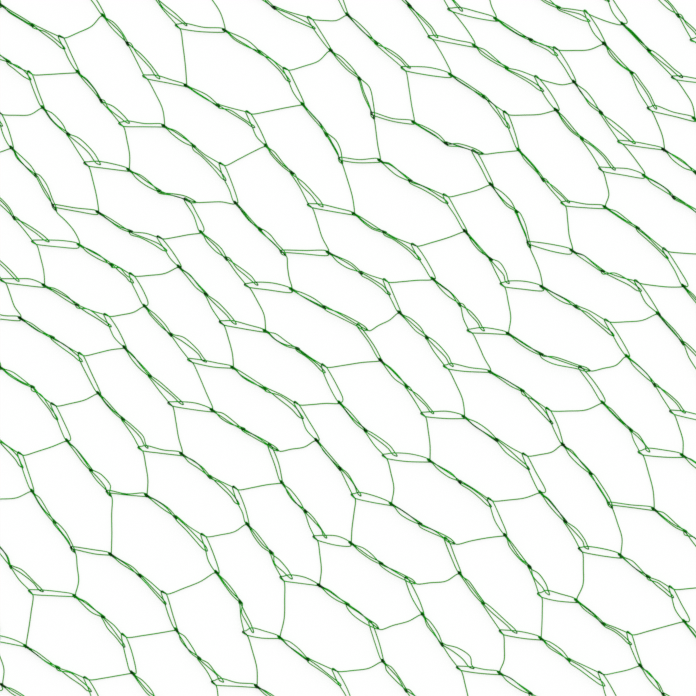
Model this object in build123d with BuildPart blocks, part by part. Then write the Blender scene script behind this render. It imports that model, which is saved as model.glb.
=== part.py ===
from build123d import *
import math
import os

# A flat piece of knitted bird netting, lying on its back with its wales along X.
# Every yarn knits three loops on one wale, one after the other towards the left,
# crosses to the next wale, knits three there and crosses back. The last loop of each
# chain is a long open one. It grips the first loop of the chain on its left, which
# belongs to the neighbouring yarn, so the open loops hold the net together.

# Driving dimensions, in millimetres
THREAD = 0.30            # diameter of the monofilament
WALE_PITCH = 12.9        # from one wale to the next
ROW_PITCH = 25.8         # from the first knot of one chain to that of the next
LEAN = -0.7              # how far each wale is shifted along X against the one below
WALES = 22
ROWS = 11                # chains along each wale

MID_RUN = 9.6            # from a chain's first knot to its middle knot, along the wale
END_RUN = 7.3            # from the middle knot to the end knot, where the link arrives
START_SWING = 0.6        # how far a chain's first knot stands off the wale's line
RISE_SWING = 3.4         # how far an end knot is pulled up by a link from above
DROP_SWING = 4.9         # how far an end knot is pulled down by a link from below
MIDDLE_SHARE = 0.35      # how much of that swing the middle knot follows
HOOK_LEAD = 3.2          # from the end knot to the tip of the hook, along the loop round it
HOOK_PLAY = 1.4          # how far the tip strays from there along the loop, at most
HOOK_DROP = 0.15         # how far it stands off the loop's line, away from the link
RISE_WRAPS = 0.25        # share of the hooks that wrap round a link from above instead
RISE_WRAP_LEAD = 2.8     # from the end knot to the tip of such a hook, straight on
DROP_WRAPS = 0.1         # share of the hooks that wrap round a link from below
DROP_WRAP_LEAD = 1.5
LENS_BOW = 0.5           # how far each leg of an open loop bows out of its line
LINK_BOW = 1.0           # how far a link bows out of its line
SHARED_RUN = 1.4         # how far a link and the open loop leave a knot side by side
TAIL = 3.0               # the cut ends of the yarns
CHAIN_STRAY = 1.6        # how far a whole chain strays from its place, at most
KNOT_STRAY = 0.3         # how far a knot strays from its chain, at most
NEXT_SHARE = 0.65        # how much of an end knot's stray is that of the loop round it

CHAIN_WIDTH = 1.0        # the two legs of a closed loop and the strand on its back
POST_RADIUS = 0.2        # where a strand passes from the back of the net to its face
POST_SIDES = 8
CLEARANCE = 0.15         # between such a post and the open loop round it
EYE_STEP = 45            # degrees between the corners of the open loop's rounded end
MERGE = 0.4              # how far one strand runs on into the next, to be one with it

# The levels of the strands, from the back of the net to its face
BACK = 0.0
MIDDLE = THREAD
FACE = 2 * THREAD
HEIGHT = 3 * THREAD

# From the middle of a post to the middle of the open loop's strand
GRIP = POST_RADIUS + CLEARANCE + THREAD / 2

# Slow sways of the slack net: size along and across the wales in millimetres,
# wales per wave, rows per wave, and where the two waves start, in turns
SWAYS = (
    (2.1, 1.9, 14.9, 39.8, 0.54, 0.15),
    (2.2, 4.4, 24.7, -23.7, 0.98, 0.93),
    (0.8, 1.3, 9.1, -7.7, 0.55, 0.64),
    (1.8, 2.1, 9.3, 55.4, 0.01, 0.52),
)

# The repeatable noise behind the strays: a rate for the wale, the row, what strays and
# the axis, and the stretch after which only the fraction is kept
NOISE_RATES = (12.9898, 78.233, 37.719, 4.581)
NOISE_STRETCH = 43758.5453

# What strays: a chain's three knots, its hook, the chain as a whole, and the way that
# the hook holds
START, MID, END, HOOK, CHAIN, WRAP = range(6)


def link_side(row):
    """1 where the chain's links come from the wale above, -1 from the one below."""
    return 1 if row % 2 == 1 else -1


def noise(wale, row, what, axis):
    """A repeatable number between -1 and 1 for one thing that strays."""
    phase = sum(n * rate for n, rate in zip((wale, row, what, axis), NOISE_RATES))
    return 2 * ((math.sin(phase) * NOISE_STRETCH) % 1.0) - 1


def stray(wale, row, knot, axis):
    """How far a knot strays with its chain. An end knot is drawn by the loop round it too."""
    chain = noise(wale, row, CHAIN, axis)
    if knot == END:
        chain += NEXT_SHARE * (noise(wale, row + 1, CHAIN, axis) - chain)
    return CHAIN_STRAY * chain + KNOT_STRAY * noise(wale, row, knot, axis)


def place(along, across, wale, row, knot):
    """A point of the net, with its sways and its knot's stray."""
    rows_off = row + along / ROW_PITCH - ROWS / 2
    wales_off = wale - (WALES - 1) / 2
    x = ROW_PITCH * rows_off + LEAN * wales_off
    y = WALE_PITCH * wales_off + across
    for size_x, size_y, wales, rows, start_x, start_y in SWAYS:
        turn = wales_off / wales + rows_off / rows
        x += size_x * math.cos(2 * math.pi * (turn - start_x))
        y += size_y * math.cos(2 * math.pi * (turn - start_y))
    return Vector(x + stray(wale, row, knot, 0), y + stray(wale, row, knot, 1))


def swing(row, share):
    """How far a knot stands off the wale's line, by its share of the end knot's."""
    full = RISE_SWING if link_side(row) > 0 else DROP_SWING
    return link_side(row) * (START_SWING + share * (full - START_SWING))


def start_knot(wale, row):
    return place(0, swing(row, 0), wale, row, START)


def middle_knot(wale, row):
    return place(MID_RUN, swing(row, MIDDLE_SHARE), wale, row, MID)


def end_knot(wale, row):
    return place(MID_RUN + END_RUN, swing(row, 1), wale, row, END)


def toward(start, end):
    return (end - start).normalized()


def left_of(direction):
    """The unit vector a quarter turn to the left of a direction."""
    unit = direction.normalized()
    return Vector(-unit.Y, unit.X)


def loop_axes(wale, row):
    """The ways along the open loop round an end knot, and across it to the link."""
    along = toward(end_knot(wale, row), start_knot(wale, row + 1))
    return along, left_of(along) * link_side(row)


def wraps_link(wale, row):
    """Whether the chain's hook wraps round its own link, past the open loop."""
    share = RISE_WRAPS if link_side(row) > 0 else DROP_WRAPS
    return noise(wale, row, WRAP, 0) < 2 * share - 1


def hook_tip(wale, row):
    """The tip of the chain's first loop.

    It lies inside the open loop, which grips it, or else round the link, straight on
    from the chain.
    """
    knot = end_knot(wale, row)
    if wraps_link(wale, row):
        lead = RISE_WRAP_LEAD if link_side(row) > 0 else DROP_WRAP_LEAD
        return knot + toward(middle_knot(wale, row), knot) * lead
    along, across = loop_axes(wale, row)
    lead = HOOK_LEAD + HOOK_PLAY * noise(wale, row, HOOK, 0)
    return knot + along * lead - across * HOOK_DROP


def chain_beyond(wale, row, step):
    """Where the same yarn knits next: to the right with step 1, to the left with -1.

    At the two long edges there is no next wale, so the yarn floats past one row.
    """
    neighbour = wale + link_side(row)
    if 0 <= neighbour < WALES:
        return neighbour, row + step
    return wale, row + 2 * step


def knitted(wale, row):
    return 0 <= wale < WALES and 0 <= row < ROWS


def yarn_of(wale, row):
    """The yarn that knits a chain. Yarn 0 runs along the lower edge."""
    return wale + 1 if link_side(row) > 0 else wale


def chains_of(yarn):
    """The places of a yarn's chains, which alternate between two wales."""
    wales = (yarn - 1, yarn)
    spots = [(wale, row) for row in range(ROWS) for wale in wales]
    return [spot for spot in spots if knitted(*spot) and yarn_of(*spot) == yarn]


def cut_at_left(spots):
    """The chains whose yarn has been cut off on their left."""
    return [spot for spot in spots if not knitted(*chain_beyond(*spot, -1))]


def inside(wale, row):
    """A point in the chain's block, just past its first knot."""
    knot = start_knot(wale, row)
    return knot + toward(knot, middle_knot(wale, row)) * MERGE


def shared_point(wale, row):
    """Where the link leaves the hook or the open loop beside it."""
    if wraps_link(wale, row):
        return hook_tip(wale, row)
    knot = end_knot(wale, row)
    to_link = toward(knot, start_knot(*chain_beyond(wale, row, 1)))
    to_loop = toward(knot, start_knot(wale, row + 1))
    return knot + (to_link + to_loop).normalized() * SHARED_RUN


def band(points, width):
    """A face of one width along a few points, mitred at its bends."""
    lefts = []
    rights = []
    last = len(points) - 1
    for index, point in enumerate(points):
        ahead = points[min(index + 1, last)] - points[max(index - 1, 0)]
        side = left_of(ahead) * (width / 2)
        lefts.append(point + side)
        rights.append(point - side)
    with BuildLine() as outline:
        Polyline(*lefts, *reversed(rights), close=True)
    return make_face(outline.edges(), mode=Mode.PRIVATE)


def chain_band(wale, row):
    """The two closed loops between a chain's first knot and its middle knot."""
    start = start_knot(wale, row)
    middle = middle_knot(wale, row)
    return band([start, middle, middle + toward(start, middle) * MERGE], CHAIN_WIDTH)


def strand_band(wale, row, tip):
    """A single strand from the middle knot to a tip at the chain's right-hand end."""
    return band([middle_knot(wale, row), tip], THREAD)


def link_band(wale, row):
    """The strand that arrives at the end knot, or its tail where the net is cut."""
    knot = end_knot(wale, row)
    parting = shared_point(wale, row)
    beyond = chain_beyond(wale, row, 1)
    far = start_knot(*beyond)
    if not knitted(*beyond):
        return band([knot, parting, parting + toward(knot, far) * TAIL], THREAD)
    bow = 0 if beyond[0] == wale else -link_side(row) * LINK_BOW
    bend = (parting + far) / 2 + left_of(far - parting) * bow
    return band([knot, parting, bend, far, inside(*beyond)], THREAD)


def left_tail_band(wale, row):
    """The cut end of a yarn at the left-hand edge, where its last link would go."""
    knot = start_knot(wale, row)
    beyond = end_knot(*chain_beyond(wale, row, -1))
    return band([inside(wale, row), knot, knot + toward(knot, beyond) * TAIL], THREAD)


def open_loop_bands(wale, row):
    """The chain's last loop, which grips the end knot of the chain on its left."""
    start = start_knot(wale, row)
    knot = end_knot(wale, row - 1)
    along, across = loop_axes(wale, row - 1)
    eye = []
    for degrees in range(-90, 91, EYE_STEP):
        angle = math.radians(degrees)
        out = across * math.sin(angle) - along * math.cos(angle)
        eye.append(knot + out * GRIP)
    if wraps_link(wale, row - 1):
        near_leg = []
        far_leg = []
    else:
        near_leg = [hook_tip(wale, row - 1) - across * GRIP]
        far_leg = [shared_point(wale, row - 1)]
    near_bend = ((near_leg + eye)[0] + start) / 2 - across * LENS_BOW
    far_bend = ((eye + far_leg)[-1] + start) / 2 + across * LENS_BOW
    merged = inside(wale, row)
    return [
        band([merged, start, near_bend] + near_leg + eye[:-1], THREAD),
        band(eye[1:] + far_leg + [far_bend, start, merged], THREAD),
    ]


def footprint_middle():
    """The middle of the net's outermost knots, which is made the model's origin."""
    lefts = [end_knot(wale, -1).X for wale in range(WALES)]
    rights = [hook_tip(wale, ROWS - 1).X for wale in range(WALES)]
    lows = [end_knot(0, row).Y for row in range(ROWS)]
    highs = [end_knot(WALES - 1, row).Y for row in range(ROWS)]
    return (min(lefts) + max(rights)) / 2, (min(lows) + max(highs)) / 2


def level(height):
    """The sketch plane at one height, with the net's middle over the origin."""
    middle_x, middle_y = footprint_middle()
    return Plane(origin=(-middle_x, -middle_y, height))


def build_yarn(yarn):
    """One yarn as plain strips on three levels, fused where it crosses itself.

    Only the last extrusion cleans away the seams, for all of them.
    """
    spots = chains_of(yarn)
    with BuildPart() as part:
        with BuildSketch(level(BACK)):
            add([chain_band(*spot) for spot in spots])
        extrude(amount=HEIGHT, clean=False)
        with BuildSketch(level(BACK)):
            add([strand_band(*spot, hook_tip(*spot)) for spot in spots])
            add([link_band(*spot) for spot in spots])
            add([left_tail_band(*spot) for spot in cut_at_left(spots)])
        extrude(amount=THREAD, clean=False)
        with BuildSketch(level(MIDDLE)):
            add([face for spot in spots for face in open_loop_bands(*spot)])
        extrude(amount=THREAD, clean=False)
        with BuildSketch(level(FACE)):
            add([strand_band(*spot, end_knot(*spot)) for spot in spots])
            add([strand_band(*spot, hook_tip(*spot)) for spot in spots])
        extrude(amount=THREAD, clean=False)
        with BuildSketch(level(BACK)):
            with Locations(*[end_knot(*spot) for spot in spots]):
                RegularPolygon(radius=POST_RADIUS, side_count=POST_SIDES)
            with Locations(*[hook_tip(*spot) for spot in spots]):
                RegularPolygon(radius=POST_RADIUS, side_count=POST_SIDES)
        extrude(amount=HEIGHT)
    return part


os.makedirs("parts", exist_ok=True)
for yarn in range(WALES + 1):
    name = f"yarn_{yarn + 1:02d}"
    made = build_yarn(yarn)
    made.part.label = name
    export_step(made.part, f"parts/{name}.step")
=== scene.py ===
import math
import random

import bpy
import numpy as np
from mathutils.kdtree import KDTree
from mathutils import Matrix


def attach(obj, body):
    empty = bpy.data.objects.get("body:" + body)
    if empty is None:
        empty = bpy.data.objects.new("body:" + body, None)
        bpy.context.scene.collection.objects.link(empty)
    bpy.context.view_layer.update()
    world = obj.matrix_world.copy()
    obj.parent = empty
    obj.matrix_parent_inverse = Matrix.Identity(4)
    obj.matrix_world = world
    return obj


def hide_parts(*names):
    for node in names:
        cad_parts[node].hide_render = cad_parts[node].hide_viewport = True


# A flat piece of knitted bird netting on white paper, seen from straight above.
# Every yarn is one continuous thread, knitted through its own and its neighbour's loops.
# A chain on a wale has three knots: its start on the left, its middle, and its end on the
# right, where a link arrives from the next wale. Its first loop ends in a hook near the
# end knot, its second one lies round the start knot, and its last one is long and open
# and lies round the end knot of the chain on its left.
# Lengths are in millimetres unless a comment says metres.

MM = 0.001               # in metres

# The net's own sizes, the same as in the frame
THREAD = 0.30            # diameter of the monofilament
WALE_PITCH = 12.9        # from one wale to the next
ROW_PITCH = 25.8         # from the first knot of one chain to that of the next
LEAN = -0.7              # how far each wale is shifted along X against the one below
WALES = 22
ROWS = 11                # chains along each wale
YARNS = WALES + 1
MID_RUN = 9.6            # from a chain's first knot to its middle knot, along the wale
END_RUN = 7.3            # from the middle knot to the end knot, where the link arrives
START_SWING = 0.6        # how far a chain's first knot stands off the wale's line
RISE_SWING = 3.4         # how far an end knot is pulled up by a link from above
DROP_SWING = 4.9         # how far an end knot is pulled down by a link from below
MIDDLE_SHARE = 0.35      # how much of that swing the middle knot follows
HOOK_LEAD = 3.2          # from the end knot to the tip of the hook, along the loop round it
HOOK_PLAY = 1.4          # how far the tip strays from there along the loop, at most
HOOK_DROP = 0.15         # how far it stands off the loop's line, away from the link
RISE_WRAPS = 0.25        # share of the hooks that wrap round a link from above instead
DROP_WRAPS = 0.1         # share of the hooks that wrap round a link from below
RISE_WRAP_LEAD = 2.8     # from the end knot to the tip of such a hook, straight on
DROP_WRAP_LEAD = 1.5
SHARED_RUN = 1.4         # how far a link and the open loop leave a knot side by side
TAIL = 3.0               # the cut ends of the yarns
CHAIN_STRAY = 1.6        # how far a whole chain strays from its place, at most
KNOT_STRAY = 0.3         # how far a knot strays from its chain, at most
NEXT_SHARE = 0.65        # how much of an end knot's stray is that of the loop round it

# Slow sways of the slack net: size along and across the wales, wales per wave, rows per
# wave, and where the two waves start, in turns
SWAYS = (
    (2.1, 1.9, 14.9, 39.8, 0.54, 0.15),
    (2.2, 4.4, 24.7, -23.7, 0.98, 0.93),
    (0.8, 1.3, 9.1, -7.7, 0.55, 0.64),
    (1.8, 2.1, 9.3, 55.4, 0.01, 0.52),
)

# The repeatable noise behind the strays: a rate for the wale, the row, what strays and
# the axis, and the stretch after which only the fraction is kept
NOISE_RATES = (12.9898, 78.233, 37.719, 4.581)
NOISE_STRETCH = 43758.5453

# What strays: a chain's three knots, its hook, the chain as a whole, and the way that
# the hook holds
START, MID, END, HOOK, CHAIN, WRAP = range(6)

# Heights of a thread's middle: under, in and over a knot
BACK = 0.15
MIDDLE = 0.45
FACE = 0.78

# The same where it comes up to a knot, and on the slack stretches between them
NECK_LEVEL = FACE - 0.1
STEM_LEVEL = FACE - 0.15
LEG_LEVEL = FACE - 0.2
LOOP_LEVEL = MIDDLE - 0.1

# How much the strands crowd at a point, which sets the thread's painted light and shade: 0
# where one runs alone, up to 1 in a knot
LOOSE = 0.0
BESIDE = 0.45
STACKED = 0.78
KNOTTED = 1.0
FADE = 0.5               # the length over which a knot's crowding falls off

# The crowding by the number of other strands over or under a point
OTHERS = (0.0, 0.3, 1.5, 4.0)
OTHERS_CROWD = (LOOSE, BESIDE, STACKED, KNOTTED)
REACH = 0.4              # how far from a strand's middle another one still counts
SPACING = 0.1            # between the points that stand for the strands
OWN_STRETCH = 1.2        # the stretch of its own thread that doesn't count

# How far slack strands bow out of their lines, as ranges for the seeded generators
FIRST_SEED = 100
LINK_BOW = (-0.2, 1.3)          # a link, to the right
STEM_BOW = (-0.15, 0.45)        # the strand from the end knot to the middle, to the link
HEAD_BULGE = (0.3, 0.65)        # the next one, where it leaves the middle knot
RISE_LEAN = (-0.4, 0.1)         # both strands of a hook, away from a link from above
DROP_LEAN = (0.1, 0.6)          # and away from a link from below
HOOK_HALF = (0.17, 0.42)        # half the space between the two
WRAP_HALF = (0.3, 0.45)         # the same where the hook wraps round its link
HOOK_SLACK = 0.9                # how much more the strand on the face bows, at most
LEG_BOW = (0.15, 0.78)          # each leg of the second loop
UNDERLAP_BOW = (-0.6, 0.6)      # the strand under it
NEAR_BOW = (-0.25, 0.75)        # the open loop's leg on the side of the hook
FAR_BOW = (-0.05, 0.4)          # its other leg

# Where along its way a slack strand bows: once halfway, or early and late
HALFWAY = (0.4, 0.6)
EARLY = (0.24, 0.38)
LATE = (0.62, 0.76)
LATE_SHARE = (0.4, 1.2)         # how much of its early bow it keeps there
LINK_EARLY = 0.33
LINK_LATE = 0.68
LINK_LATE_SHARE = 0.55

# How the open loop lies at the hook that it grips, and back at its own knot
RISE_SLIP = (0.45, 0.95)        # from the hook's tip to where it comes in, by the side
DROP_SLIP = (0.6, 1.4)          # that the hook's link comes from
FAR_AHEAD = (0.0, 0.9)          # how far to the right of the knot its far leg turns in
FAR_LEAST = 0.2                 # how far aside of the knot that is, at least
FAR_SPREAD = 1.1                # and how much further at most
CLIMB_SHARE = 0.6               # the share of the way ahead where it climbs to the face
CLIMB_AHEAD = 0.45              # and how much further ahead
CLIMB_ASIDE = 0.55              # the share of the way aside

# A thread's ways through the knots in the order of travel, point by point: how far to
# the right of the knot and to its outer side, the height, and KNOTTED where it crowds
UNDER_TIP = (
    (0.45, 0.1, BACK),
    (-0.6, 0.0, MIDDLE, KNOTTED),
)
HEAD_TURN = (
    (0.50, 0.26, NECK_LEVEL),
    (-0.10, 0.24, MIDDLE),
    (-0.35, 0.0, MIDDLE, KNOTTED),
    (-0.10, -0.24, MIDDLE),
)
HOOK_TURN = (
    (-0.3, 0.2, FACE - 0.08),
    (0.0, 0.0, MIDDLE, KNOTTED),
    (-0.3, -0.2, BACK + 0.08),
)
UP_THROUGH_HEAD = (
    (0.05, 0.0, MIDDLE - 0.03, KNOTTED),
    (-0.42, 0.13, FACE),
)
START_TURN = (
    (1.30, 0.17, NECK_LEVEL),
    (0.60, 0.18, FACE - 0.05),
    (-0.12, 0.23, MIDDLE),
    (-0.40, 0.0, MIDDLE, KNOTTED),
    (-0.12, -0.23, MIDDLE),
    (0.60, -0.18, FACE - 0.05),
    (1.30, -0.17, NECK_LEVEL),
)
DOWN_THROUGH_HEAD = (
    (-0.42, -0.15, FACE),
    (0.10, -0.18, MIDDLE + 0.15),
    (0.45, -0.22, BACK + 0.1),
    (0.50, -0.40, BACK),
    (0.10, -0.44, BACK),
)
UNDER_START = (
    (1.30, 0.0, BACK),
    (0.60, 0.0, BACK),
)
UP_THROUGH_START = (
    (0.0, 0.0, MIDDLE - 0.03, KNOTTED),
    (-0.50, 0.10, FACE),
)
EYE_TURN = (
    (0.40, -0.34, MIDDLE),
    (-0.15, -0.27, MIDDLE),
    (-0.36, 0.0, MIDDLE, KNOTTED),
    (-0.12, 0.29, MIDDLE),
)
LAST_TURN = (
    (0.42, -0.36, FACE + 0.14),
    (0.33, 0.0, MIDDLE + 0.1, KNOTTED),
    (0.20, 0.32, BACK),
    (0.0, 0.62, BACK),
)

# Where a thread passes near the knots, ahead of them and aside
LINK_ASIDE = 0.12        # the link, beside the open loop at the end of the shared run
EYE_ENTRY = 0.55         # from the end knot to where the link dives into the loop's eye
EYE_RIM = 0.45           # and to where it comes out over the rim
HEAD_EXIT = 0.50         # from the middle knot to where the strand to the hook leaves it
HOOK_NECK = 1.1          # from the hook's tip to where its two strands part
NECK_FLARE = 0.05        # how much further from the middle they are there
UNDERLAP_AHEAD = 0.65    # from the middle knot to where the hook's underlap reaches it
UNDERLAP_ASIDE = 0.05
LOOP_AHEAD = 0.5         # from the end knot to where the open loop comes out of it
LOOP_ASIDE = 0.20
LOOP_PARTS = 0.4         # how much before the link it ends the shared run
LOOP_PARTS_ASIDE = 0.08
WRAP_SHARE = 0.5         # the share of a wrapped hook's length where it parts from it
WRAP_ASIDE = 0.35

# The curve's samples: the longest step, the sharpest turn in radians, and the shortest
# length that it divides by
LONGEST_STEP = 0.75
SHARPEST_TURN = 0.29
SHORTEST = 1e-4
TUBE_SIDES = 8           # the corners of a thread's round section

# The thread's colours by how much its strands crowd: its own green where one runs alone,
# painted light where strands run side by side, and painted shade where they are stacked and
# in the knots
LOOSE_GREEN = (0.05, 0.33, 0.005, 1)
BESIDE_PAINTED_LIGHT_GREEN = (0.0, 0.43, 0.0, 1)
STACKED_PAINTED_SHADE_GREEN = (0.0, 0.1, 0.0, 1)
KNOT_PAINTED_SHADE_GREEN = (0.0, 0.006, 0.0, 1)

# Its surface: streaks of deeper colour and less gloss, and a fine grain. The scales are
# waves a metre, and the height is in metres
STREAK_SCALE = 220.0
STREAK_FORM = (1, 1, 8)
STREAK_DETAIL = 3.0
STREAK_EDGES = (0.38, 0.62)     # the noise between which a streak deepens
STREAK_CROWD = (-0.15, 0.15)    # and what that adds to the crowding
SPECULAR = 0.1
ROUGHNESS = (0.3, 0.55)         # from the least noise to the most
GRAIN_SCALE = 6000.0
GRAIN_STRENGTH = 0.15
GRAIN_HEIGHT = 0.00002

# The paper: half its side and its drop under the net in metres, its colour, and how
# much of its white is lit, and takes the net's shadow
PAPER_HALF = 2.0
PAPER_GAP = 0.0001
PAPER_WHITE = (0.995, 0.995, 0.995, 1)
SHADOW_SHARE = 0.3

# The soft light of the studio: the way to its brighter side, the cosines of the angles
# from there between which it rises, and its strengths away from that side and on it
KEY_WAY = (-0.35, 0.62, 0.70)
KEY_EDGES = (0.1, 1.0)
SKY_STRENGTHS = (0.45, 1.6)

# The photograph's view: the camera's turn in degrees, the place that it looks at, the
# width that it sees there, its height and its sensor
VIEW_TURN = 39.7
VIEW_MIDDLE = (8.3, -5.3)
VIEW_WIDTH = 174.0
VIEW_HEIGHT = 1500.0
SENSOR = 36.0


def link_side(row):
    """1 where the chain's links come from the wale above, -1 from the one below."""
    return 1 if row % 2 == 1 else -1


def by_side(row, rise, drop):
    """The value for links from above, or the one for links from below."""
    return rise if link_side(row) > 0 else drop


def noise(wale, row, what, axis):
    """A repeatable number between -1 and 1 for one thing that strays."""
    phase = sum(n * rate for n, rate in zip((wale, row, what, axis), NOISE_RATES))
    return 2 * ((math.sin(phase) * NOISE_STRETCH) % 1.0) - 1


def stray(wale, row, knot, axis):
    """How far a knot strays with its chain. An end knot is drawn by the loop round it too."""
    chain = noise(wale, row, CHAIN, axis)
    if knot == END:
        chain += NEXT_SHARE * (noise(wale, row + 1, CHAIN, axis) - chain)
    return CHAIN_STRAY * chain + KNOT_STRAY * noise(wale, row, knot, axis)


def place(along, across, wale, row, knot):
    """A point of the net, with its sways and its knot's stray."""
    rows_off = row + along / ROW_PITCH - ROWS / 2
    wales_off = wale - (WALES - 1) / 2
    x = ROW_PITCH * rows_off + LEAN * wales_off
    y = WALE_PITCH * wales_off + across
    for size_x, size_y, wales, rows, start_x, start_y in SWAYS:
        turn = wales_off / wales + rows_off / rows
        x += size_x * math.cos(2 * math.pi * (turn - start_x))
        y += size_y * math.cos(2 * math.pi * (turn - start_y))
    return np.array([x + stray(wale, row, knot, 0), y + stray(wale, row, knot, 1)])


def swing(row, share):
    """How far a knot stands off the wale's line, by its share of the end knot's."""
    full = by_side(row, RISE_SWING, DROP_SWING)
    return link_side(row) * (START_SWING + share * (full - START_SWING))


def start_knot(wale, row):
    return place(0, swing(row, 0), wale, row, START)


def middle_knot(wale, row):
    return place(MID_RUN, swing(row, MIDDLE_SHARE), wale, row, MID)


def end_knot(wale, row):
    return place(MID_RUN + END_RUN, swing(row, 1), wale, row, END)


def unit(vector):
    return vector / np.linalg.norm(vector)


def left_of(direction):
    """The unit vector a quarter turn to the left of a direction."""
    flat = unit(direction)
    return np.array([-flat[1], flat[0]])


def loop_axes(wale, row):
    """The ways along the open loop round an end knot, and across it to the link."""
    along = unit(start_knot(wale, row + 1) - end_knot(wale, row))
    return along, left_of(along) * link_side(row)


def wraps_link(wale, row):
    """Whether the chain's hook wraps round its own link, past the open loop."""
    return noise(wale, row, WRAP, 0) < 2 * by_side(row, RISE_WRAPS, DROP_WRAPS) - 1


def hook_tip(wale, row):
    """The tip of the chain's first loop.

    It lies inside the open loop, which grips it, or else round the link, straight on
    from the chain.
    """
    knot = end_knot(wale, row)
    if wraps_link(wale, row):
        lead = by_side(row, RISE_WRAP_LEAD, DROP_WRAP_LEAD)
        return knot + lead * unit(knot - middle_knot(wale, row))
    along, across = loop_axes(wale, row)
    lead = HOOK_LEAD + HOOK_PLAY * noise(wale, row, HOOK, 0)
    return knot + along * lead - across * HOOK_DROP


def knitted(wale, row):
    return 0 <= wale < WALES and 0 <= row < ROWS


def far_knot(wale, row):
    """The start knot that the link to a chain comes from.

    At the two long edges there is no neighbour, and the yarn floats past one row.
    """
    neighbour = wale + link_side(row)
    if 0 <= neighbour < WALES:
        return start_knot(neighbour, row + 1)
    return start_knot(wale, row + 2)


def next_chain(wale, row):
    """Where the yarn of a chain knits next, which is past the cut edge after row 0."""
    neighbour = wale + link_side(row)
    if row == 0 or knitted(neighbour, row - 1):
        return neighbour, row - 1
    return wale, row - 2


def yarn_of(wale, row):
    """The yarn that knits a chain. Yarn 0 runs along the lower edge."""
    return wale + 1 if link_side(row) > 0 else wale


def chains_of(yarn):
    """The places of a yarn's chains in the order of knitting, from the right."""
    spots = [(wale, row) for row in reversed(range(ROWS)) for wale in (yarn - 1, yarn)]
    return [spot for spot in spots if knitted(*spot) and yarn_of(*spot) == yarn]


def footprint_middle():
    """The middle of the net's outermost knots, which is the frame's origin."""
    lefts = [end_knot(wale, -1)[0] for wale in range(WALES)]
    rights = [hook_tip(wale, ROWS - 1)[0] for wale in range(WALES)]
    lows = [end_knot(0, row)[1] for row in range(ROWS)]
    highs = [end_knot(WALES - 1, row)[1] for row in range(ROWS)]
    return np.array([(min(lefts) + max(rights)) / 2, (min(lows) + max(highs)) / 2])


def spot(flat, height, crowd_shade=LOOSE):
    """A point of a thread's route, with the height of its middle."""
    return (flat[0], flat[1], height, crowd_shade)


class Knot:
    """A place with its own axes: to the right along the wale, and to the left of that."""

    def __init__(self, point, right):
        self.point = point
        self.right = unit(right)
        self.left = left_of(right)

    def flat(self, right, left):
        return self.point + right * self.right + left * self.left

    def at(self, right, left, height, crowd_shade=LOOSE):
        return spot(self.flat(right, left), height, crowd_shade)

    def way(self, points, side):
        """A thread's way through the knot, mirrored for side -1."""
        return [self.at(right, side * out, *rest) for right, out, *rest in points]


def seldom(rng, most, power):
    """A random length up to the most, which a higher power makes more seldom near it."""
    return most * rng.random() ** power


def along_line(start, end, share, bow, height):
    """A point on the way from start to end, bowed to the left of that way."""
    return spot(start + share * (end - start) + bow * left_of(end - start), height)


def run(route, start, end, bow, height, rng):
    """A slack strand between two knots, bowed to the left over most of its length."""
    route.append(along_line(start, end, rng.uniform(*EARLY), bow, height))
    bow = bow * rng.uniform(*LATE_SHARE)
    route.append(along_line(start, end, rng.uniform(*LATE), bow, height))


def parting(wale, row):
    """The way that a link and the open loop leave an end knot together."""
    knot = end_knot(wale, row)
    to_link = unit(far_knot(wale, row) - knot)
    to_loop = unit(start_knot(wale, row + 1) - knot)
    return unit(to_link + to_loop)


def arrive(route, wale, row):
    """The link's last stretch, up through the open loop's eye and over its rim.

    A yarn's first chain has a cut tail there in place of the link.
    """
    knot = end_knot(wale, row)
    side = link_side(row)
    together = Knot(knot, parting(wale, row))
    if not route:
        tail = TAIL * unit(far_knot(wale, row) - knot)
        route.append(spot(together.flat(SHARED_RUN, 0) + tail, BACK))
    if wraps_link(wale, row):
        tip = hook_tip(wale, row)
        route.extend(Knot(tip, tip - knot).way(UNDER_TIP, side))
        together = Knot(knot, tip - knot)
        route.append(together.at(EYE_ENTRY, 0, MIDDLE))
    else:
        route.append(together.at(SHARED_RUN, side * LINK_ASIDE, BACK))
        route.append(together.at(EYE_ENTRY, 0, BACK))
    route.append(together.at(0, 0, MIDDLE, KNOTTED))
    to_middle = unit(middle_knot(wale, row) - knot)
    route.append(spot(knot + EYE_RIM * to_middle, FACE))


def first_loop(route, wale, row, rng):
    """From the end knot to the middle knot's head, back to the hook, and its underlap."""
    side = link_side(row)
    start, middle = start_knot(wale, row), middle_knot(wale, row)
    end, tip = end_knot(wale, row), hook_tip(wale, row)
    head = Knot(middle, unit(middle - start) + unit((end + tip) / 2 - middle))
    bow = rng.uniform(*STEM_BOW) * side
    route.append(along_line(end, middle, rng.uniform(*HALFWAY), -bow, STEM_LEVEL))
    route.extend(head.way(HEAD_TURN, side))
    route.append(head.at(HEAD_EXIT, -side * rng.uniform(*HEAD_BULGE), NECK_LEVEL))
    hook = Knot(tip, tip - middle)
    half = rng.uniform(*HOOK_HALF)
    over = rng.choice((-1, 1))
    lean = rng.uniform(*by_side(row, RISE_LEAN, DROP_LEAN)) * -side
    slack = seldom(rng, HOOK_SLACK, 3)
    if wraps_link(wale, row):
        half = rng.uniform(*WRAP_HALF)
        over = -side
    run(route, middle, tip, lean + over * (half + slack), FACE, rng)
    route.append(hook.at(-HOOK_NECK, over * (half + NECK_FLARE), FACE))
    route.extend(hook.way(HOOK_TURN, over))
    route.append(hook.at(-HOOK_NECK, -over * (half + NECK_FLARE), BACK))
    run(route, tip, middle, -lean + over * half, BACK, rng)
    route.append(head.at(UNDERLAP_AHEAD, -side * UNDERLAP_ASIDE, BACK))
    return head


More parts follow.
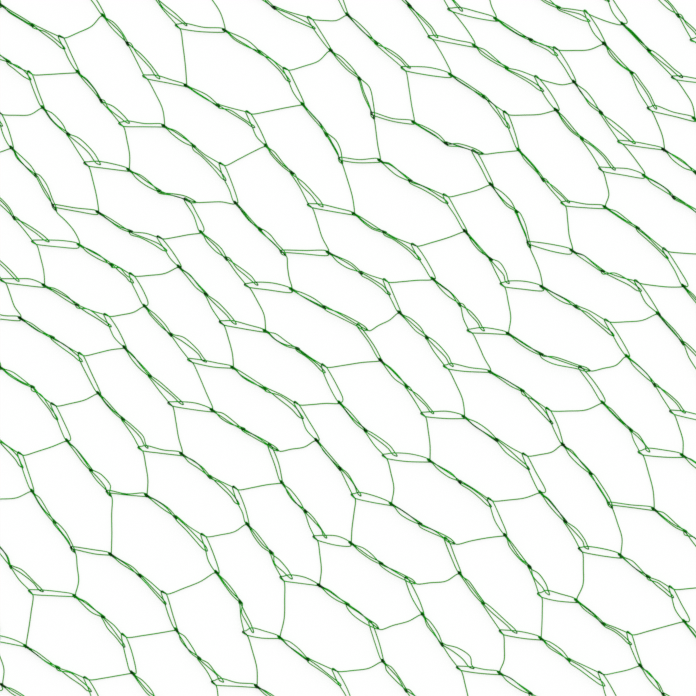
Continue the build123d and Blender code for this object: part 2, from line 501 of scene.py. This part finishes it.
def second_loop(route, head, wale, row, rng):
    """Up through the middle knot, round the start knot and back, and the underlap."""
    start, middle = start_knot(wale, row), middle_knot(wale, row)
    side = rng.choice((-1, 1))
    cap = Knot(start, middle - start)
    up = rng.uniform(*LEG_BOW)
    down = rng.uniform(*LEG_BOW)
    route.extend(head.way(UP_THROUGH_HEAD, side))
    run(route, middle, start, -side * up, LEG_LEVEL, rng)
    route.extend(cap.way(START_TURN, side))
    run(route, start, middle, -side * down, LEG_LEVEL, rng)
    route.extend(head.way(DOWN_THROUGH_HEAD, side))
    run(route, middle, start, rng.uniform(*UNDERLAP_BOW), BACK, rng)
    route.extend(cap.way(UNDER_START, side))
    return cap


def open_loop(route, cap, wale, row, rng):
    """Out to the end knot on the left, round the strand there, and back under the start."""
    side = link_side(row)
    start = start_knot(wale, row)
    end, tip = end_knot(wale, row - 1), hook_tip(wale, row - 1)
    wraps = wraps_link(wale, row - 1)
    slip = rng.uniform(*by_side(row - 1, RISE_SLIP, DROP_SLIP))
    gripped = end if wraps else tip - slip * unit(tip - middle_knot(wale, row - 1))
    route.extend(cap.way(UP_THROUGH_START, side))
    near = rng.uniform(*NEAR_BOW) * side
    route.append(along_line(start, gripped, 0.5, -near, LOOP_LEVEL))
    if not wraps:
        route.append(spot(gripped, MIDDLE))
    out = -side
    route.extend(Knot(end, start - end).way(EYE_TURN, out))
    if wraps:
        hook_length = np.linalg.norm(tip - end)
        leave = Knot(end, tip - end).flat(WRAP_SHARE * hook_length, -out * WRAP_ASIDE)
    else:
        together = Knot(end, parting(wale, row - 1))
        route.append(together.at(LOOP_AHEAD, out * LOOP_ASIDE, MIDDLE))
        leave = together.flat(SHARED_RUN - LOOP_PARTS, out * LOOP_PARTS_ASIDE)
    route.append(spot(leave, MIDDLE))
    wide = FAR_LEAST + seldom(rng, FAR_SPREAD, 2)
    ahead = rng.uniform(*FAR_AHEAD)
    turn_in = cap.flat(ahead, -side * wide)
    bend = out * rng.uniform(*FAR_BOW)
    route.append(along_line(leave, turn_in, rng.uniform(*HALFWAY), bend, LOOP_LEVEL))
    route.append(spot(turn_in, MIDDLE))
    climb = ahead * CLIMB_SHARE + CLIMB_AHEAD
    route.append(cap.at(climb, -side * wide * CLIMB_ASIDE, FACE))
    route.extend(cap.way(LAST_TURN, side))


def cross_over(route, wale, row, rng):
    """The link from a start knot to the yarn's next chain, or its tail at the cut edge."""
    start = start_knot(wale, row)
    goal_wale, goal_row = next_chain(wale, row)
    goal = end_knot(goal_wale, goal_row)
    if goal_row < 0:
        route.append(spot(start + TAIL * unit(goal - start), BACK))
        return
    goal = goal + SHARED_RUN * parting(goal_wale, goal_row)
    bow = 0.0
    if goal_wale != wale:
        if wraps_link(goal_wale, goal_row):
            goal = hook_tip(goal_wale, goal_row)
        bow = rng.uniform(*LINK_BOW) * -link_side(row)
    route.append(along_line(start, goal, LINK_EARLY, bow, BACK))
    route.append(along_line(start, goal, LINK_LATE, bow * LINK_LATE_SHARE, BACK))


def yarn_route(yarn):
    """The points that a yarn's thread follows, from its cut end on the right."""
    rng = random.Random(FIRST_SEED + yarn)
    route = []
    for wale, row in chains_of(yarn):
        arrive(route, wale, row)
        head = first_loop(route, wale, row, rng)
        cap = second_loop(route, head, wale, row, rng)
        open_loop(route, cap, wale, row, rng)
        cross_over(route, wale, row, rng)
    return np.array(route)


def pace(start, end):
    return max(np.linalg.norm(end - start), SHORTEST) ** 0.5


def tangents(before, start, end, after):
    """A centripetal curve's tangents at both ends of its stretch from start to end."""
    last, own, coming = pace(before, start), pace(start, end), pace(end, after)
    straight = (end - start) / own
    leaving = ((start - before) / last - (end - before) / (last + own) + straight) * own
    arriving = (straight - (after - start) / (own + coming) + (after - end) / coming) * own
    return leaving, arriving


def on_curve(start, leaving, end, arriving, t):
    """The point at t, from 0 to 1, of a cubic curve with these ends and tangents."""
    return (
        (2 * t ** 3 - 3 * t ** 2 + 1) * start
        + (t ** 3 - 2 * t ** 2 + t) * leaving
        + (-2 * t ** 3 + 3 * t ** 2) * end
        + (t ** 3 - t ** 2) * arriving
    )


def smooth(route):
    """A curve through the route's points, closely sampled where it turns.

    It comes with the crowding at each of its points, which falls off from the knots.
    """
    points, crowd_shades = route[:, :3], route[:, 3]
    ends = np.vstack([2 * points[0] - points[1], points, 2 * points[-1] - points[-2]])
    path = [points[0]]
    crowd_shade = [crowd_shades[0]]
    for i in range(1, len(ends) - 2):
        before, start, end, after = ends[i - 1:i + 3]
        leaving, arriving = tangents(before, start, end, after)
        turn = math.acos(max(-1.0, min(1.0, float(np.dot(unit(leaving), unit(arriving))))))
        chord = np.linalg.norm(end - start)
        count = max(1, math.ceil(chord / LONGEST_STEP), math.ceil(turn / SHARPEST_TURN))
        for step in range(1, count + 1):
            t = step / count
            path.append(on_curve(start, leaving, end, arriving, t))
            here, there = crowd_shades[i - 1], crowd_shades[i]
            away = t * chord if here > there else (1 - t) * chord
            crowd_shade.append(max(here, there) - abs(here - there) * min(1, away / FADE))
    path = np.array(path)
    path[:, 2] = np.maximum(path[:, 2], THREAD / 2)
    return path, np.array(crowd_shade)


def other_strands(paths):
    """For each point of each path, how many other strands lie over or under it.

    The strands are stood for by evenly spaced points, which count less the further
    they lie to the side.
    """
    spots, owners, alongs, arcs = [], [], [], []
    for number, path in enumerate(paths):
        steps = np.linalg.norm(np.diff(path, axis=0), axis=1)
        arc = np.concatenate([[0.0], np.cumsum(steps)])
        even = np.arange(0, arc[-1], SPACING)
        spots += zip(np.interp(even, arc, path[:, 0]), np.interp(even, arc, path[:, 1]))
        owners += [number] * len(even)
        alongs += even.tolist()
        arcs.append(arc)
    tree = KDTree(len(spots))
    for index, (x, y) in enumerate(spots):
        tree.insert((x, y, 0), index)
    tree.balance()
    # What the points of a straight strand right over or under the point add up to
    one_strand = 4 / 3 * REACH / SPACING
    counts = []
    for number, path in enumerate(paths):
        count = np.zeros(len(path))
        for i, (x, y) in enumerate(path[:, :2]):
            here = arcs[number][i]
            for _, index, away in tree.find_range((x, y, 0), REACH):
                if owners[index] != number or abs(alongs[index] - here) > OWN_STRETCH:
                    count[i] += (1 - (away / REACH) ** 2) / one_strand
        counts.append(count)
    return counts


def tube(name, path, crowd_shade, radius):
    """A round tube along a path, with closed ends and the crowding at every point."""
    ways = np.gradient(path, axis=0)
    ways /= np.linalg.norm(ways, axis=1)[:, None]
    normals = np.empty_like(path)
    normal = np.cross(ways[0], [0, 0, 1])
    normal /= np.linalg.norm(normal)
    for i, way in enumerate(ways):
        normal = normal - way * np.dot(normal, way)
        normal /= np.linalg.norm(normal)
        normals[i] = normal
    binormals = np.cross(ways, normals)
    angles = np.linspace(0, 2 * math.pi, TUBE_SIDES, endpoint=False)[:, None]
    around = np.cos(angles) * normals[:, None] + np.sin(angles) * binormals[:, None]
    verts = ((path[:, None] + radius * around) * MM).reshape(-1, 3)
    last = (len(path) - 1) * TUBE_SIDES
    faces = []
    for ring in range(0, last, TUBE_SIDES):
        for side in range(TUBE_SIDES):
            here, there = ring + side, ring + (side + 1) % TUBE_SIDES
            faces.append((here, there, there + TUBE_SIDES, here + TUBE_SIDES))
    faces.append(tuple(reversed(range(TUBE_SIDES))))
    faces.append(tuple(range(last, last + TUBE_SIDES)))
    mesh = bpy.data.meshes.new(name)
    mesh.from_pydata(verts.tolist(), [], faces)
    mesh.polygons.foreach_set("use_smooth", [True] * len(mesh.polygons))
    mesh.update()
    # The crowding at every point, which the material turns into painted light and painted
    # shade
    layer = mesh.attributes.new("crowd_shade", "FLOAT", "POINT")
    layer.data.foreach_set("value", np.repeat(crowd_shade, TUBE_SIDES))
    piece = bpy.data.objects.new(name, mesh)
    bpy.context.scene.collection.objects.link(piece)
    return piece


def map_range(nodes, before, after):
    """A node that turns one range of values into another."""
    node = nodes.new("ShaderNodeMapRange")
    for name, values in (("From", before), ("To", after)):
        node.inputs[name + " Min"].default_value = values[0]
        node.inputs[name + " Max"].default_value = values[1]
    return node


def monofilament():
    """Drawn green polyethylene, with painted light where strands run side by side and painted
    shade where they are stacked and knotted, in place of real translucency.
    """
    material = bpy.data.materials.new("monofilament")
    material.use_nodes = True
    nodes, links = material.node_tree.nodes, material.node_tree.links
    shader = nodes["Principled BSDF"]
    shader.inputs["Specular IOR Level"].default_value = SPECULAR
    place_on = nodes.new("ShaderNodeTexCoord")
    crowd_shade = nodes.new("ShaderNodeAttribute")
    crowd_shade.attribute_name = "crowd_shade"

    spread = nodes.new("ShaderNodeMapping")
    spread.inputs["Scale"].default_value = STREAK_FORM
    links.new(place_on.outputs["Object"], spread.inputs["Vector"])
    streaks = nodes.new("ShaderNodeTexNoise")
    streaks.inputs["Scale"].default_value = STREAK_SCALE
    streaks.inputs["Detail"].default_value = STREAK_DETAIL
    links.new(spread.outputs["Vector"], streaks.inputs["Vector"])
    deeper = map_range(nodes, STREAK_EDGES, STREAK_CROWD)
    links.new(streaks.outputs["Fac"], deeper.inputs["Value"])
    # The crowding that sets the painted light and shade, shifted up and down by the streaks
    # of deeper colour
    shade_and_streaks = nodes.new("ShaderNodeMath")
    shade_and_streaks.operation = "ADD"
    links.new(crowd_shade.outputs["Fac"], shade_and_streaks.inputs[0])
    links.new(deeper.outputs["Result"], shade_and_streaks.inputs[1])

    # Own green where a strand runs alone, painted light where strands run side by side,
    # painted shade where they are stacked and knotted
    ramp = nodes.new("ShaderNodeValToRGB")
    stops = ramp.color_ramp.elements
    stops[0].position = LOOSE
    stops[0].color = LOOSE_GREEN
    stops[1].position = KNOTTED
    stops[1].color = KNOT_PAINTED_SHADE_GREEN
    stops.new(BESIDE).color = BESIDE_PAINTED_LIGHT_GREEN
    stops.new(STACKED).color = STACKED_PAINTED_SHADE_GREEN
    links.new(shade_and_streaks.outputs["Value"], ramp.inputs["Fac"])
    links.new(ramp.outputs["Color"], shader.inputs["Base Color"])

    gloss = map_range(nodes, (0.0, 1.0), ROUGHNESS)
    links.new(streaks.outputs["Fac"], gloss.inputs["Value"])
    links.new(gloss.outputs["Result"], shader.inputs["Roughness"])

    grain = nodes.new("ShaderNodeTexNoise")
    grain.inputs["Scale"].default_value = GRAIN_SCALE
    links.new(place_on.outputs["Object"], grain.inputs["Vector"])
    bump = nodes.new("ShaderNodeBump")
    bump.inputs["Strength"].default_value = GRAIN_STRENGTH
    bump.inputs["Distance"].default_value = GRAIN_HEIGHT
    links.new(grain.outputs["Fac"], bump.inputs["Height"])
    links.new(bump.outputs["Normal"], shader.inputs["Normal"])
    return material


def paper():
    """Plain white, most of it glowing, so that it stays white and keeps a soft shadow."""
    material = bpy.data.materials.new("paper")
    material.use_nodes = True
    nodes, links = material.node_tree.nodes, material.node_tree.links
    nodes.clear()
    out = nodes.new("ShaderNodeOutputMaterial")
    mix = nodes.new("ShaderNodeMixShader")
    mix.inputs["Fac"].default_value = SHADOW_SHARE
    glow = nodes.new("ShaderNodeEmission")
    matt = nodes.new("ShaderNodeBsdfDiffuse")
    matt.inputs["Color"].default_value = PAPER_WHITE
    links.new(glow.outputs[0], mix.inputs[1])
    links.new(matt.outputs[0], mix.inputs[2])
    links.new(mix.outputs[0], out.inputs[0])
    return material


def make_floor():
    mesh = bpy.data.meshes.new("floor")
    low, high = -PAPER_HALF, PAPER_HALF
    corners = [(low, low, 0), (high, low, 0), (high, high, 0), (low, high, 0)]
    mesh.from_pydata(corners, [], [(0, 1, 2, 3)])
    mesh.materials.append(paper())
    floor = bpy.data.objects.new("floor", mesh)
    bpy.context.scene.collection.objects.link(floor)
    floor.location.z = -PAPER_GAP


def light_scene():
    """A sky that lights the net more from one side, and looks plain white itself."""
    world = bpy.data.worlds.new("studio")
    bpy.context.scene.world = world
    world.use_nodes = True
    nodes, links = world.node_tree.nodes, world.node_tree.links
    sky = nodes["Background"]
    sky.inputs["Color"].default_value = (1, 1, 1, 1)
    way = nodes.new("ShaderNodeTexCoord")
    toward_key = nodes.new("ShaderNodeVectorMath")
    toward_key.operation = "DOT_PRODUCT"
    toward_key.inputs[1].default_value = KEY_WAY
    links.new(way.outputs["Generated"], toward_key.inputs[0])
    glow = map_range(nodes, KEY_EDGES, SKY_STRENGTHS)
    glow.interpolation_type = "SMOOTHSTEP"
    links.new(toward_key.outputs["Value"], glow.inputs["Value"])
    path = nodes.new("ShaderNodeLightPath")
    seen = nodes.new("ShaderNodeMix")
    seen.inputs["B"].default_value = 1.0
    links.new(path.outputs["Is Camera Ray"], seen.inputs["Factor"])
    links.new(glow.outputs["Result"], seen.inputs["A"])
    links.new(seen.outputs["Result"], sky.inputs["Strength"])


def aim_camera(middle):
    """The photograph's view from straight above, given the middle of the net's box."""
    data = bpy.data.cameras.new("camera")
    camera = bpy.data.objects.new("camera", data)
    bpy.context.scene.collection.objects.link(camera)
    x, y = VIEW_MIDDLE
    camera.location = ((x - middle[0]) * MM, (y - middle[1]) * MM, VIEW_HEIGHT * MM)
    camera.rotation_euler = (0, 0, math.radians(VIEW_TURN))
    data.sensor_width = SENSOR
    data.lens = SENSOR * VIEW_HEIGHT / VIEW_WIDTH
    bpy.context.scene.camera = camera


def yarn_paths(middle):
    """Every yarn's smooth path and the crowding that its knots give it."""
    paths, knottings = [], []
    for yarn in range(YARNS):
        route = yarn_route(yarn)
        route[:, :2] -= middle
        path, knotting = smooth(route)
        paths.append(path)
        knottings.append(knotting)
    return paths, knottings


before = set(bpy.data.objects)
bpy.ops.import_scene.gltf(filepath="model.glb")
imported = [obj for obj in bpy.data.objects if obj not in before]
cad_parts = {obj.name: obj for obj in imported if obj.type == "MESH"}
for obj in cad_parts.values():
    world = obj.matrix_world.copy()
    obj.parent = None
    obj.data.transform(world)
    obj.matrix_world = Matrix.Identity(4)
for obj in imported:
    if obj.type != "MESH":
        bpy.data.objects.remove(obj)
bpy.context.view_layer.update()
middle = footprint_middle()
aim_camera(middle)
light_scene()
make_floor()
material = monofilament()
paths, knottings = yarn_paths(middle)
others = other_strands(paths)
for yarn in range(YARNS):
    crowd_shade = np.maximum(knottings[yarn], np.interp(others[yarn], OTHERS, OTHERS_CROWD))
    piece = tube(f"thread_{yarn + 1:02d}", paths[yarn], crowd_shade, THREAD / 2)
    piece.data.materials.append(material)
    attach(piece, "root")
    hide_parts(f"yarn_{yarn + 1:02d}")
bpy.context.scene.view_settings.view_transform = "Standard"
